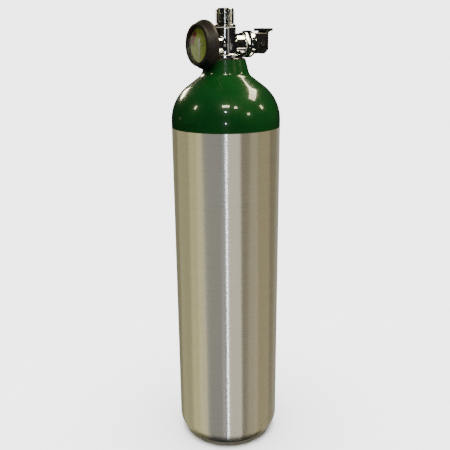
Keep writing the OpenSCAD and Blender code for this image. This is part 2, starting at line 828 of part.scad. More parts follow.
burst_gasket_h = 0.6;
burst_disc_h = 0.25;
plug_shank = plug_seat + burst_gasket_h + burst_disc_h;

module safety_plug() {
  head_h = 5;
  vents = 4;
  color(brass)
    along_plug()
      difference() {
        union() {
          translate([0, 0, plug_shank]) cylinder(r = plug_port_r - run_gap, h = plug_face - plug_shank);
          hex_nut(12, plug_face, plug_face + head_h);
        }
        translate([0, 0, plug_shank - 1]) cylinder(r = 1.5, h = plug_face - plug_shank + 4);
        for (i = [0 : vents - 1])
          rotate([0, 0, 30 + i * 360 / vents])
            translate([0, 0, plug_face + head_h / 2]) rotate([0, 90, 0]) cylinder(r = 0.8, h = 9);
      }
}

module burst_disc() {
  color([0.80, 0.45, 0.28])
    along_plug() translate([0, 0, plug_seat + burst_gasket_h]) cylinder(r = plug_port_r - 0.1, h = burst_disc_h);
}

module burst_gasket() {
  color(nylon) along_plug() ring(plug_port_r - 0.1, 1.6, plug_seat, plug_seat + burst_gasket_h);
}

cylinder_shell();
shoulder_enamel();
neck_o_ring();
valve_body();
anti_debris_tube();
outlet_gasket();
outlet_connector();
outlet_filter();
bonnet();
bonnet_gasket();
spindle_o_ring();
spindle();
seat_disc();
closing_spring();
thrust_washer();
toggle_lever();
lever_pin();
pin_clips();
gauge_seal();
gauge_socket();
gauge_case();
gauge_boot();
bourdon_tube();
movement_plates();
sector_gear();
movement_link();
pinion_arbor();
hairspring();
gauge_dial();
dial_screws();
gauge_pointer();
lens_gasket();
gauge_lens();
gauge_bezel();
safety_plug();
burst_disc();
burst_gasket();
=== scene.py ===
"""Looks of a portable breathing-gas cylinder with a flip-lever valve and a pressure gauge.

Sizes named here are in millimetres unless a comment says otherwise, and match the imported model.
The gauge points along -X, the lever is on the +X side and the safety plug faces +Y.
"""
import math

import bpy
import bmesh
import numpy as np
from mathutils import Matrix, Vector


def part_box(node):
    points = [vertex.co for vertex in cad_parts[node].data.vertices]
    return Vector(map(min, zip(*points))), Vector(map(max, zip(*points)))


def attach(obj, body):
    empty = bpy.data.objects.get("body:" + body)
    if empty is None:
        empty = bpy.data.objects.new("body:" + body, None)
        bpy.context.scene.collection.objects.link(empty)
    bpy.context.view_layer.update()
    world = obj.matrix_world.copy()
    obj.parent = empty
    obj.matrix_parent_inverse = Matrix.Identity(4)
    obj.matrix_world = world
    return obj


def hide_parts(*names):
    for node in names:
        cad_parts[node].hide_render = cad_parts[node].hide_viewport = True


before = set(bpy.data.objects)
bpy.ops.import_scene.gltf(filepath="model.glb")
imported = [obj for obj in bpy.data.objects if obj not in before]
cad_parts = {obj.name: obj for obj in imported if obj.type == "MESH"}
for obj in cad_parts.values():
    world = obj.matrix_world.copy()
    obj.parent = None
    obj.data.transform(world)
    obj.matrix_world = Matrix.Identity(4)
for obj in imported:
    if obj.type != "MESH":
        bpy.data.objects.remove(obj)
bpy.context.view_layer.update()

MM = 0.001
TURN = 2 * math.pi


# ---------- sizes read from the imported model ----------

def low(node):
    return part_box(node)[0] / MM


def high(node):
    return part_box(node)[1] / MM


tank_r = high("cylinder_shell").x
tank_h = high("cylinder_shell").z
enamel_z = low("shoulder_enamel").z
body_top = high("valve_body").z
outlet_top = high("outlet_connector").z
outlet_z = high("outlet_gasket").z
bonnet_x = low("bonnet_gasket").x
bonnet_end = high("bonnet").x
washer_end = high("thrust_washer").x
lever_half = high("toggle_lever").y
lever_top = high("toggle_lever").z
gauge_back = -high("gauge_case").x
boot_back = -high("gauge_boot").x
boot_front = -low("gauge_boot").x
bezel_front = -low("gauge_bezel").x
dial_front = -low("gauge_dial").x
dial_r = high("gauge_dial").y
case_r = high("gauge_case").y
valve_z = (high("gauge_case").z + low("gauge_case").z) / 2
stem_bottom = low("valve_body").z
pin_x = (low("lever_pin").x + high("lever_pin").x) / 2

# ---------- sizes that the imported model's boxes don't show ----------

tank_wall = 5.4
base_thick = 9
base_round = 19
shoulder_round = 42.6
shoulder_slope = math.radians(37)
neck_r = 20
neck_h = 16.1
neck_flare = 4.2
neck_chamfer = 1.2
enamel_thick = 0.3
neck_thread_r = 14.29
neck_pitch = 2.117
outlet_r = 9.525
outlet_pitch = 1.5875
outlet_bore_r = 5.5
outlet_shank_r = 7.45
filter_r = 4.4
thread_depth = 0.61
thread_gap = 0.1
gland_r = neck_thread_r + 2.75
gland_depth = 2.4
gasket_h = 0.8
spindle_r = 3
pin_r = 1.5
run_gap = 0.05

# ---------- outlines, as (radius, height) points ----------


def arc(cx, cy, r, start, end, steps):
    """Points round a circle, with the angles in degrees."""
    angles = np.radians(np.linspace(start, end, steps + 1))
    return [(cx + r * math.cos(a), cy + r * math.sin(a)) for a in angles]


def curve(a, corner, b, steps):
    """Quadratic curve from a to b, pulled towards the corner."""
    return [tuple((1 - t) ** 2 * p + 2 * t * (1 - t) * q + t ** 2 * s for p, q, s in zip(a, corner, b))
            for t in np.linspace(0, 1, steps + 1)]


def line(a, b, steps):
    return [tuple(p + (q - p) * t for p, q in zip(a, b)) for t in np.linspace(0, 1, steps + 1)]


def soften(points, r, steps=3):
    """Rounds every corner of a closed outline that is sharper than 15 degrees and off the axis."""
    made = []
    count = len(points)
    for i, here in enumerate(points):
        corner = Vector(here)
        back = Vector(points[i - 1]) - corner
        ahead = Vector(points[(i + 1) % count]) - corner
        smooth = back.length < 1e-6 or ahead.length < 1e-6 or back.angle(ahead) > math.radians(165)
        if smooth or here[0] < 1e-6:
            made.append(here)
            continue
        cut = min(r, 0.4 * back.length, 0.4 * ahead.length)
        made += curve(corner + back.normalized() * cut, corner, corner + ahead.normalized() * cut, steps)
    return made


# ---------- meshes ----------


def along_z(x=0, y=0):
    return Matrix.Translation((x * MM, y * MM, 0)) @ Matrix.Scale(MM, 4)


def along_x():
    """A piece drawn upwards points along +X, at the height of the valve's axis."""
    place = Matrix.Translation((0, 0, valve_z * MM))
    return place @ Matrix.Rotation(math.pi / 2, 4, "Y") @ Matrix.Scale(MM, 4)


def along_gauge():
    """A piece drawn upwards points along -X, and its own +X points up."""
    place = Matrix.Translation((0, 0, valve_z * MM))
    return place @ Matrix.Rotation(-math.pi / 2, 4, "Y") @ Matrix.Scale(MM, 4)


def new_piece(name, points, faces, body, slot, material, node=None, crease=35, place=None):
    """A mesh piece that rides on a body, with sharp edges where faces meet at more than crease degrees."""
    mesh = bpy.data.meshes.new(name)
    mesh.from_pydata([tuple(p) for p in points], [], [tuple(f) for f in faces])
    mesh.transform(place or Matrix.Scale(MM, 4))
    work = bmesh.new()
    work.from_mesh(mesh)
    bmesh.ops.remove_doubles(work, verts=work.verts, dist=1e-7)
    bmesh.ops.recalc_face_normals(work, faces=work.faces)
    work.to_mesh(mesh)
    work.free()
    mesh.shade_smooth()
    mesh.set_sharp_from_angle(angle=math.radians(crease))
    piece = bpy.data.objects.new(name, mesh)
    bpy.context.scene.collection.objects.link(piece)
    mesh.materials.append(material)
    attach(piece, body)
    if node:
        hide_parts(node)
    return piece


def turned(name, outline, shape=None, segments=192, **kind):
    """Turns a closed outline about its own axis. shape(r, z, angles) gives the radii round one ring."""
    angles = np.arange(segments) * TURN / segments
    points = []
    rows = []
    for r, z in outline:
        start = len(points)
        if r < 1e-6:
            points.append((0, 0, z))
            rows.append([start] * segments)
            continue
        radii = shape(r, z, angles) if shape else np.full(segments, r)
        points += list(zip(radii * np.cos(angles), radii * np.sin(angles), np.full(segments, z)))
        rows.append(list(range(start, start + segments)))
    faces = []
    for i, row in enumerate(rows):
        above = rows[(i + 1) % len(rows)]
        if row[0] == row[1] and above[0] == above[1]:
            continue
        for j in range(segments):
            k = (j + 1) % segments
            corners = dict.fromkeys((row[j], row[k], above[k], above[j]))
            faces.append(tuple(corners))
    return new_piece(name, points, faces, **kind)


def thread_radius(z, angles, crest_r, pitch, z0, z1):
    """Radius of a right-hand screw thread, which fades into its root over the last half turn at each end."""
    phase = (z / pitch - angles / TURN) % 1
    height = np.clip(4 * np.abs(phase - 0.5) - 0.5, 0, 1)
    tooth = height * height * (3 - 2 * height)
    fade = np.clip((z - z0) / pitch * 2, 0, 1) * np.clip((z1 - z) / pitch * 2, 0, 1)
    return crest_r - thread_depth * pitch * (1 - tooth * fade)


def hexagon_radius(r, angles, across_flats):
    """Radius of a turned blank after a hexagon is milled on it."""
    from_flat = (angles + TURN / 12) % (TURN / 6) - TURN / 12
    return np.minimum(r, across_flats / 2 / np.cos(from_flat))


# ---------- solid fields: distances to a surface, below 0 inside ----------


def round_bar(p, axis, centre, r, start, end, edge=0.0):
    """Cylinder along an axis (0, 1 or 2) through centre, with rounded rims."""
    others = [i for i in range(3) if i != axis]
    across = np.hypot(p[others[0]] - centre[0], p[others[1]] - centre[1]) - r + edge
    ends = np.maximum(start - p[axis], p[axis] - end) + edge
    outside = np.hypot(np.maximum(across, 0), np.maximum(ends, 0))
    return np.minimum(np.maximum(across, ends), 0) + outside - edge


def block(p, lowest, highest, edge=0.0):
    """Box with rounded edges."""
    gaps = [np.maximum(a - q, q - b) + edge for q, a, b in zip(p, lowest, highest)]
    outside = np.sqrt(sum(np.maximum(g, 0) ** 2 for g in gaps))
    return np.minimum(np.maximum.reduce(gaps), 0) + outside - edge


def join(a, b, blend=0.0):
    """Union, with a fillet of about that size where the two meet."""
    if not blend:
        return np.minimum(a, b)
    h = np.maximum(blend - np.abs(a - b), 0) / blend
    return np.minimum(a, b) - h * h * blend / 4


def cut(a, b, blend=0.0):
    return -join(-a, b, blend)


def outline_distance(u, w, outline):
    """Distance to a closed outline in a plane, below 0 inside."""
    nearest = np.full(u.shape, 1e9)
    inside = np.zeros(u.shape, bool)
    for (ax, ay), (bx, by) in zip(outline, outline[1:] + outline[:1]):
        ex, ey = bx - ax, by - ay
        length = ex * ex + ey * ey
        if length < 1e-12:
            continue
        t = np.clip(((u - ax) * ex + (w - ay) * ey) / length, 0, 1)
        nearest = np.minimum(nearest, np.hypot(u - ax - t * ex, w - ay - t * ey))
        if abs(ey) > 1e-12:
            crosses = (ay > w) != (by > w)
            inside ^= crosses & (u < ax + (w - ay) * ex / ey)
    return np.where(inside, -nearest, nearest)


def skin_of(field, lowest, highest, step):
    """Closed quad mesh of a solid field: one point per grid cell that the surface passes, moved onto it."""
    axes = [np.arange(a - 2 * step, b + 3 * step, step) for a, b in zip(lowest, highest)]
    grid = np.meshgrid(*axes, indexing="ij")
    inside = field(grid) < 0
    nx, ny, nz = (count - 1 for count in inside.shape)
    corners = np.stack([inside[i:i + nx, j:j + ny, k:k + nz]
                        for i in (0, 1) for j in (0, 1) for k in (0, 1)])
    mixed = corners.any(0) & ~corners.all(0)
    cells = np.argwhere(mixed)
    index = np.full(mixed.shape, -1)
    index[mixed] = np.arange(len(cells))
    points = np.stack([axes[i][cells[:, i]] + step / 2 for i in range(3)])
    faces = []
    for axis in range(3):
        one, two = [i for i in range(3) if i != axis]
        first = np.take(inside, range(inside.shape[axis] - 1), axis)
        second = np.take(inside, range(1, inside.shape[axis]), axis)
        edges = np.argwhere(first != second)
        ring = []
        for back_one, back_two in ((1, 1), (0, 1), (0, 0), (1, 0)):
            cell = edges.copy()
            cell[:, one] -= back_one
            cell[:, two] -= back_two
            ring.append(index[tuple(cell.T)])
        faces.append(np.stack(ring, 1))
    nudge = 0.02
    for _ in range(5):
        value = field(points)
        slope = np.stack([(field(points + nudge * d) - field(points - nudge * d)) / (2 * nudge)
                          for d in np.eye(3)[:, :, None]])
        move = value * slope / np.maximum((slope ** 2).sum(0), 0.25)
        points = points - np.clip(move, -step / 2, step / 2)
    return points.T, np.concatenate(faces)


# ---------- materials ----------


class Finish:
    """A node material: a Principled shader, and the nodes that drive it."""

    def __init__(self, name, **constants):
        self.material = bpy.data.materials.new(name)
        self.material.use_nodes = True
        self.tree = self.material.node_tree
        self.shader = self.tree.nodes["Principled BSDF"]
        self.place = self.node("ShaderNodeTexCoord").outputs["Object"]
        for socket, value in constants.items():
            self.shader.inputs[socket.replace("_", " ")].default_value = value

    def node(self, kind, inputs=None, **settings):
        made = self.tree.nodes.new(kind)
        for key, value in settings.items():
            setattr(made, key, value)
        for key, value in (inputs or {}).items():
            if isinstance(value, bpy.types.NodeSocket):
                self.tree.links.new(value, made.inputs[key])
            else:
                made.inputs[key].default_value = value
        return made

    def drive(self, socket, output):
        self.tree.links.new(output, self.shader.inputs[socket])

    def noise(self, scale, detail=4.0, stretch=(1, 1, 1), roughness=0.5):
        """Noise over the piece: scale is in features per metre, and stretch multiplies it along each axis."""
        place = self.node("ShaderNodeMapping", {"Vector": self.place, "Scale": stretch})
        values = {"Vector": place.outputs["Vector"], "Scale": scale, "Detail": detail, "Roughness": roughness}
        return self.node("ShaderNodeTexNoise", values).outputs["Fac"]

    def between(self, value, low_end, high_end, start=0.3, end=0.7):
        """value, spread from start..end to low_end..high_end."""
        ends = {"Value": value, "From Min": start, "From Max": end, "To Min": low_end, "To Max": high_end}
        return self.node("ShaderNodeMapRange", ends).outputs["Result"]

    def mixed(self, value, first, second, start=0.3, end=0.7):
        """A colour that goes from first to second as value goes from start to end."""
        mix = self.node("ShaderNodeMix", data_type="RGBA")
        self.tree.links.new(self.between(value, 0, 1, start, end), mix.inputs["Factor"])
        for key, colour in ((6, first), (7, second)):
            if isinstance(colour, bpy.types.NodeSocket):
                self.tree.links.new(colour, mix.inputs[key])
            else:
                mix.inputs[key].default_value = (*colour, 1)
        return mix.outputs[2]

    def bump(self, value, height, strength=1.0):
        """Relief of that height in millimetres."""
        made = self.node("ShaderNodeBump", {"Height": value, "Distance": height * MM, "Strength": strength})
        self.drive("Normal", made.outputs["Normal"])


def turned_aluminium():
    """Bare metal with fine rings left by the lathe, which spread reflections up and down."""
    f = Finish("turned_aluminium", Metallic=1.0, Anisotropic=0.94, Anisotropic_Rotation=0.25)
    rings = f.noise(1, 6, (9, 9, 1500), 0.65)
    broad = f.noise(1, 3, (16, 16, 60))
    tone = f.mixed(rings, (0.47, 0.46, 0.42), (0.62, 0.61, 0.57))
    f.drive("Base Color", f.mixed(broad, tone, (0.56, 0.54, 0.49), 0.35, 0.95))
    f.drive("Roughness", f.between(rings, 0.22, 0.30))
    f.drive("Tangent", f.node("ShaderNodeTangent", direction_type="RADIAL", axis="Z").outputs["Tangent"])
    f.bump(rings, 0.012, 0.6)
    return f.material


def green_enamel():
    """Thick sprayed gloss enamel with a slight orange peel."""
    f = Finish("gloss_green_enamel", Specular_IOR_Level=0.15, Coat_Weight=1.0, Coat_Roughness=0.03,
               Coat_IOR=1.5)
    peel = f.noise(260, 2)
    depth = f.noise(40, 3)
    f.drive("Base Color", f.mixed(depth, (0.004, 0.045, 0.009), (0.007, 0.060, 0.011)))
    f.drive("Roughness", f.between(peel, 0.20, 0.28))
    f.bump(peel, 0.02, 0.5)
    return f.material


def plated_chrome():
    """Bright plating over a lightly polished forging."""
    f = Finish("plated_chrome", Metallic=1.0)
    haze = f.noise(500, 5)
    waves = f.noise(150, 2)
    f.drive("Base Color", f.mixed(haze, (0.60, 0.61, 0.62), (0.68, 0.69, 0.70)))
    f.drive("Roughness", f.between(haze, 0.06, 0.15))
    f.bump(waves, 0.03, 0.4)
    return f.material


def metal(name, dark, light, rough, grain=700, relief=0.004):
    """Machined metal: colour and gloss vary with a fine grain."""
    f = Finish(name, Metallic=1.0)
    tool = f.noise(grain, 5)
    f.drive("Base Color", f.mixed(tool, dark, light))
    f.drive("Roughness", f.between(tool, rough * 0.8, rough * 1.25))
    f.bump(tool, relief, 0.5)
    return f.material


def sintered(name, dark, light):
    """Metal grains fused together, with open pores."""
    f = Finish(name, Metallic=1.0)
    grains = f.node("ShaderNodeTexVoronoi", {"Vector": f.place, "Scale": 3500}).outputs["Distance"]
    f.drive("Base Color", f.mixed(grains, light, dark, 0.1, 0.6))
    f.drive("Roughness", f.between(grains, 0.35, 0.7, 0, 0.6))
    f.bump(grains, 0.1, 1.0)
    return f.material


def black_rubber():
    """Moulded rubber with a fine matt texture, and brownish patches at random that are partly dust and partly
    a painted sheen.
    """
    f = Finish("moulded_rubber", Specular_IOR_Level=0.4)
    pores = f.noise(2600, 4)
    dust_and_painted_sheen = f.noise(70, 5)
    # Brownish patches at random over the dark rubber: partly dust, partly a painted sheen.
    f.drive("Base Color", f.mixed(dust_and_painted_sheen, (0.010, 0.009, 0.008), (0.034, 0.026, 0.020), 0.4, 0.75))
    f.drive("Roughness", f.between(pores, 0.42, 0.58))
    f.bump(pores, 0.03, 0.6)
    return f.material


def black_enamel():
    """Glossy paint on the cast lever, a little uneven."""
    f = Finish("lever_black_enamel", Coat_Weight=0.7, Coat_Roughness=0.06)
    cast = f.noise(220, 4)
    f.drive("Base Color", f.mixed(cast, (0.006, 0.006, 0.007), (0.016, 0.015, 0.015)))
    f.drive("Roughness", f.between(cast, 0.2, 0.34))
    f.bump(cast, 0.03, 0.5)
    return f.material


def nylon():
    f = Finish("natural_nylon", Subsurface_Weight=0.15, Subsurface_Scale=0.001)
    fibre = f.noise(900, 3)
    f.drive("Base Color", f.mixed(fibre, (0.66, 0.64, 0.57), (0.76, 0.75, 0.69)))
    f.drive("Roughness", f.between(fibre, 0.35, 0.5))
    f.bump(fibre, 0.01, 0.4)
    return f.material


def print_colour(name, dark, light, rough=0.45):
    """Printed or painted sheet metal, with slight mottling."""
    f = Finish(name)
    ink = f.noise(1200, 4)
    f.drive("Base Color", f.mixed(ink, dark, light))
    f.drive("Roughness", f.between(ink, rough * 0.85, rough * 1.15))
    f.bump(ink, 0.004, 0.3)
    return f.material


def clear_lens():
    """Clear window: it mirrors more at a glancing angle, and its slight haze is uneven."""
    f = Finish("clear_window")
    haze = f.noise(300, 3)
    sheet = f.node("ShaderNodeBsdfTransparent", {"Color": (0.93, 0.95, 0.94, 1)})
    gloss = f.node("ShaderNodeBsdfGlossy", {"Roughness": f.between(haze, 0.03, 0.08)})
    facing = f.node("ShaderNodeLayerWeight", {"Blend": 0.5}).outputs["Facing"]
    glancing = f.node("ShaderNodeMath", {0: facing, 1: 5.0}, operation="POWER").outputs["Value"]
    share = f.between(glancing, 0.04, 1.0, 0, 1)
    mix = f.node("ShaderNodeMixShader", {0: share, 1: sheet.outputs[0], 2: gloss.outputs[0]})
    f.tree.nodes.remove(f.shader)
    f.tree.links.new(mix.outputs[0], f.tree.nodes["Material Output"].inputs["Surface"])
    return f.material


FINISHES = {
    "bare_aluminium": turned_aluminium(),
    "green_enamel": green_enamel(),
    "chrome_brass": plated_chrome(),
    "brass": metal("machined_brass", (0.50, 0.33, 0.12), (0.66, 0.47, 0.20), 0.26),
    "sintered_bronze": sintered("sintered_bronze", (0.20, 0.11, 0.05), (0.52, 0.33, 0.17)),
    "copper": metal("rolled_copper", (0.58, 0.24, 0.14), (0.76, 0.36, 0.22), 0.3),
    "stainless_steel": metal("stainless_steel", (0.36, 0.36, 0.37), (0.52, 0.52, 0.53), 0.24),
    "black_rubber": black_rubber(),
    "white_nylon": nylon(),
    "black_enamel": black_enamel(),
    "dial_face": print_colour("dial_yellow_green", (0.30, 0.36, 0.035), (0.40, 0.46, 0.06)),
    "pointer_white": print_colour("pointer_white_paint", (0.62, 0.60, 0.54), (0.74, 0.72, 0.67)),
    "clear_lens": clear_lens(),
}
DIAL_RED = print_colour("dial_red_ink", (0.26, 0.035, 0.02), (0.36, 0.05, 0.03))
DIAL_INK = print_colour("dial_dark_ink", (0.02, 0.02, 0.018), (0.04, 0.04, 0.035))


def finish_of(slot_name):
    return {"slot": slot_name, "material": FINISHES[slot_name]}


# ---------- cylinder and enamel ----------

neck_draft = neck_flare / neck_h
arc_end = math.pi / 2 - shoulder_slope
arc_x = tank_r - shoulder_round
arc_tip_x = shoulder_round * math.cos(arc_end)
arc_tip_z = shoulder_round * math.sin(arc_end)
cone_run = arc_x + arc_tip_x - (neck_r + neck_flare)
arc_z = tank_h - neck_h - cone_run * math.tan(shoulder_slope) - arc_tip_z


def shoulder_side(out):
    """Side of the shoulder and neck, from the enamel's edge to the neck's chamfer, moved out."""
    slope = math.tan(shoulder_slope)
    tip_x = arc_x + (shoulder_round + out) * math.cos(arc_end)
    tip_z = arc_z + (shoulder_round + out) * math.sin(arc_end)
    foot_z = (tip_z + slope * (tip_x - neck_r - out - tank_h * neck_draft)) / (1 - neck_draft * slope)
    foot = (neck_r + out + (tank_h - foot_z) * neck_draft, foot_z)
    fillet = 3.2
    below = (foot[0] + fillet * math.cos(shoulder_slope), foot[1] - fillet * math.sin(shoulder_slope))
    lean = math.hypot(neck_draft, 1)
    above = (foot[0] - fillet * neck_draft / lean, foot[1] + fillet / lean)
    rim = (neck_r + out + neck_chamfer * neck_draft, tank_h - neck_chamfer)
    return ([(tank_r + out, enamel_z)] + arc(arc_x, arc_z, shoulder_round + out, 0, math.degrees(arc_end), 40)
            + line((tip_x, tip_z), below, 6)[1:] + curve(below, foot, above, 10)[1:]
            + line(above, rim, 5)[1:])


def make_shell():
    """Hollow one-piece cylinder, with its threaded neck."""
    cavity_round = base_round - tank_wall
    dome_r = shoulder_round - tank_wall
    root_r = neck_thread_r + thread_gap
    throat_r = root_r - thread_depth * neck_pitch
    throat = math.degrees(math.acos((throat_r - arc_x) / dome_r))
    throat_z = arc_z + dome_r * math.sin(math.radians(throat))
    seat_z = tank_h - gland_depth
    thread_rows = 12 * int((seat_z - throat_z) / neck_pitch)
    outline = ([(0, 0)] + line((tank_r - base_round - 20, 0), (tank_r - base_round - 1, 0), 2)
               + arc(tank_r - base_round, base_round, base_round, -90, 0, 24)
               + line((tank_r, base_round), (tank_r, enamel_z), 40)[1:]
               + shoulder_side(-enamel_thick)
               + [(neck_r - neck_chamfer, tank_h), (gland_r, tank_h), (gland_r, seat_z)]
               + line((throat_r, seat_z), (throat_r, throat_z), thread_rows)
               + arc(arc_x, arc_z, dome_r, throat, 0, 24)[1:]
               + arc(tank_r - base_round, base_thick + cavity_round, cavity_round, 0, -90, 16)
               + [(0, base_thick)])

    def bore(r, z, angles):
        if abs(r - throat_r) > 1e-6 or z <= throat_z or z > seat_z:
            return np.full(len(angles), r)
        return thread_radius(z, angles, root_r, neck_pitch, throat_z, seat_z + neck_pitch)

    turned("cylinder_turned", outline, bore, 256, body="cylinder", node="cylinder_shell",
           crease=50, **finish_of("bare_aluminium"))


def make_enamel():
    outline = shoulder_side(0) + shoulder_side(-enamel_thick)[::-1]
    turned("enamel_coat", outline, None, 256, body="cylinder", node="shoulder_enamel",
           crease=50, **finish_of("green_enamel"))


# ---------- valve body ----------

flange_r = gland_r + 0.4
flange_h = 3.6
barrel_r = 10.8
wrench_half = 10.1
boss_r = barrel_r - 0.4
gauge_boss_r = barrel_r - 1.6
plug_boss_r = 7.6
plug_at = (-6.6, tank_h + 10.8)
plug_face = 14
forging_fillet = 1.6
screen_r = 10.4
screen_depth = 7
riser_x = 7.4
riser_r = 2
gauge_riser_r = 1.5
orifice_r = 2.1
lip_r = orifice_r + 0.8
lip_h = 0.6
seat_x = 5
chamber_r = 6.2
bonnet_thread_r = 7.4
bonnet_thread_len = 7
passage_r = 3.8
outlet_thread_r = 7.5
outlet_thread_len = 8.5
gauge_port_r = 4.5
port_x = gauge_back - 5
relief_r = 1.5
plug_port_r = 4.5
plug_seat = 7
# How far the cutting tools run on outside the body
clear = 30


def valve_outside(p):
    """The forging before it is bored, with its threaded stem."""
    x, y, z = p
    axis = (0, valve_z)
    body = round_bar(p, 2, (0, 0), barrel_r, tank_h + 1, body_top, 0.8)
    body = -join(-body, wrench_half - np.abs(y), 0.5)
    body = join(body, round_bar(p, 0, axis, boss_r, 0, bonnet_x, 0.5), forging_fillet)
    body = join(body, round_bar(p, 0, axis, gauge_boss_r, -port_x, 0, 0.5), forging_fillet)
    body = join(body, round_bar(p, 1, plug_at, plug_boss_r, 0, plug_face, 0.5), forging_fillet)
    body = join(body, round_bar(p, 2, (0, 0), flange_r, tank_h, tank_h + flange_h, 0.7), 0.9)
    body = np.maximum(body, tank_h - z)
    seat_z = tank_h - gland_depth
    stem_r = thread_radius(z, np.arctan2(y, x), neck_thread_r, neck_pitch, stem_bottom, seat_z)
    stem = np.maximum(np.hypot(x, y) - stem_r, np.maximum(stem_bottom - z, z - tank_h - 1))
    return np.minimum(body, stem)


def valve_field(p):
    """The valve body with its passages and ports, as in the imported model."""
    axis = (0, valve_z)
    riser_z = stem_bottom + screen_depth - 1
    riser_top = valve_z - (chamber_r + lip_r) / 2
    top = body_top + clear
    side = bonnet_x + clear
    body = valve_outside(p)
    body = cut(body, round_bar(p, 2, (0, 0), screen_r, stem_bottom - clear, stem_bottom + screen_depth))
    body = cut(body, round_bar(p, 2, (riser_x, 0), riser_r, riser_z, riser_top))
    body = cut(body, round_bar(p, 2, (-riser_x, 0), gauge_riser_r, riser_z, valve_z))
    body = cut(body, round_bar(p, 0, axis, orifice_r, -orifice_r, seat_x + 3))
    lip = round_bar(p, 0, axis, lip_r, 0, seat_x + lip_h)
    body = cut(body, np.maximum(round_bar(p, 0, axis, chamber_r, seat_x, side), -lip))
    body = cut(body, round_bar(p, 0, axis, bonnet_thread_r, bonnet_x - bonnet_thread_len, side))
    body = cut(body, round_bar(p, 2, (0, 0), passage_r, valve_z - orifice_r, top))
    body = cut(body, round_bar(p, 2, (0, 0), outlet_thread_r, body_top - outlet_thread_len, top))
    body = cut(body, round_bar(p, 0, axis, gauge_port_r, -port_x - clear, -riser_x))
    body = cut(body, round_bar(p, 1, plug_at, relief_r, 0, plug_face + clear))
    return cut(body, round_bar(p, 1, plug_at, plug_port_r, plug_seat, plug_face + clear))


def make_valve_body():
    lowest = (-port_x, -flange_r, stem_bottom)
    highest = (bonnet_x, flange_r, body_top)
    points, faces = skin_of(valve_field, lowest, highest, 0.5)
    new_piece("valve_forging", points, faces, body="cylinder", node="valve_body", crease=40,
              **finish_of("chrome_brass"))


# ---------- outlet ----------


def make_outlet():
    """Threaded outlet with a flange under it, a shank that screws into the body and a bored mouth."""
    crest = outlet_r
    root = outlet_r - thread_depth * outlet_pitch
    flange_top = outlet_z + 2.4
    thread_bottom = flange_top + 0.4
    thread_top = outlet_top - 0.9
    rows = 14 * round((thread_top - thread_bottom) / outlet_pitch)
    foot = body_top - 8.2
    edges = [(filter_r, foot), (outlet_shank_r, foot), (outlet_shank_r, outlet_z), (crest + 1.2, outlet_z),
             (crest + 1.2, flange_top - 0.6), (crest + 0.6, flange_top), (root, flange_top)]
    mouth = [(root - 0.8, outlet_top), (outlet_bore_r + 0.6, outlet_top), (outlet_bore_r, outlet_top - 0.6),
             (outlet_bore_r, flange_top), (filter_r, flange_top - 1)]
    outline = soften(edges, 0.25) + line((root, thread_bottom), (root, thread_top), rows) + soften(mouth, 0.2)

    def screw(r, z, angles):
        if abs(r - root) > 1e-6 or z < thread_bottom or z > thread_top:
            return np.full(len(angles), r)
        return thread_radius(z, angles, crest, outlet_pitch, thread_bottom, thread_top)

    turned("outlet_threaded", outline, screw, 144, body="cylinder", node="outlet_connector",
           crease=60, place=along_z(), **finish_of("chrome_brass"))


# ---------- bonnet, washer and lever ----------


def make_bonnet():
    """Gland nut: threaded shank, hexagon, and a round collar with broken edges."""
    hex_x = bonnet_x + gasket_h
    hex_end = hex_x + 3.6
    hex_flats = 22
    corner_r = hex_flats / math.sqrt(3)
    collar_r = high("bonnet").y
    bore_r = spindle_r + run_gap
    shank_r = 7.35
    shank_x = bonnet_x - 6.5
    edge = 1.2
    groove_x = bonnet_end - 5
    groove_half = 1.1
    groove_r = bore_r + 1.8
    spring_r = 5.3
    spring_end = bonnet_x - 0.5
    blank = [(spring_r, shank_x), (shank_r, shank_x), (shank_r, hex_x), (corner_r - 1.6, hex_x)]
    outline = soften(blank + [(corner_r, hex_x + 1), (corner_r, hex_end - 0.8)], 0.3)
    outline += soften([(corner_r - edge, hex_end), (collar_r - edge, hex_end), (collar_r, hex_end + edge),
                       (collar_r, bonnet_end - edge), (collar_r - edge, bonnet_end), (bore_r, bonnet_end),
                       (bore_r, groove_x + groove_half), (groove_r, groove_x + groove_half),
                       (groove_r, groove_x - groove_half), (bore_r, groove_x - groove_half),
                       (bore_r, spring_end), (spring_r, spring_end)], 0.35)

    def milled(r, z, angles):
        in_hexagon = hex_x - 0.01 <= z <= hex_end and r > shank_r + 0.5
        return hexagon_radius(r, angles, hex_flats) if in_hexagon else np.full(len(angles), r)

    turned("bonnet_nut", outline, milled, 216, body="cylinder", node="bonnet", crease=28,
           place=along_x(), **finish_of("chrome_brass"))


def make_thrust_washer():
    bore_r = spindle_r + 0.3
    rim_r = 9.5
    edges = [(bore_r, bonnet_end), (rim_r, bonnet_end), (rim_r, washer_end), (bore_r, washer_end)]
    turned("thrust_washer_turned", soften(edges, 0.25), None, 128, body="cylinder", node="thrust_washer",
           place=along_x(), **finish_of("brass"))


# Side view of the lever, measured from its pin
lever_gap = 0.15
lever_lift = 1.6
web_x = 5.2
edge_x = 8.8
tab_rise = lever_top - valve_z
tab_x = high("toggle_lever").x - pin_x
tab_h = 2.9
slot_half = 3.6


def cheek_outline():
    """A cheek's side view. Its lower inner corner is a cam of constant lead."""
    reach = pin_x - washer_end - lever_gap
    lead = lever_lift / (math.pi / 2)
    cam = []
    steps = 24
    for i in range(steps + 1):
        a = math.pi / 2 * i / steps
        out = reach + lead * a
        cam.append((-out * math.cos(a) + lead * math.sin(a), -out * math.sin(a) - lead * math.cos(a)))
    bottom = cam[-1][1]
    bottom_x = 3.6
    bevel = 4.2
    flare = tab_rise - 4.8
    shelf = tab_rise - tab_h + 0.1
    return ([(-reach, flare)] + cam + [(bottom_x, bottom), (edge_x, bottom + bevel), (edge_x, flare),
            (edge_x + 3.2, shelf), (edge_x - 1, shelf), (edge_x - 2.8, flare)])


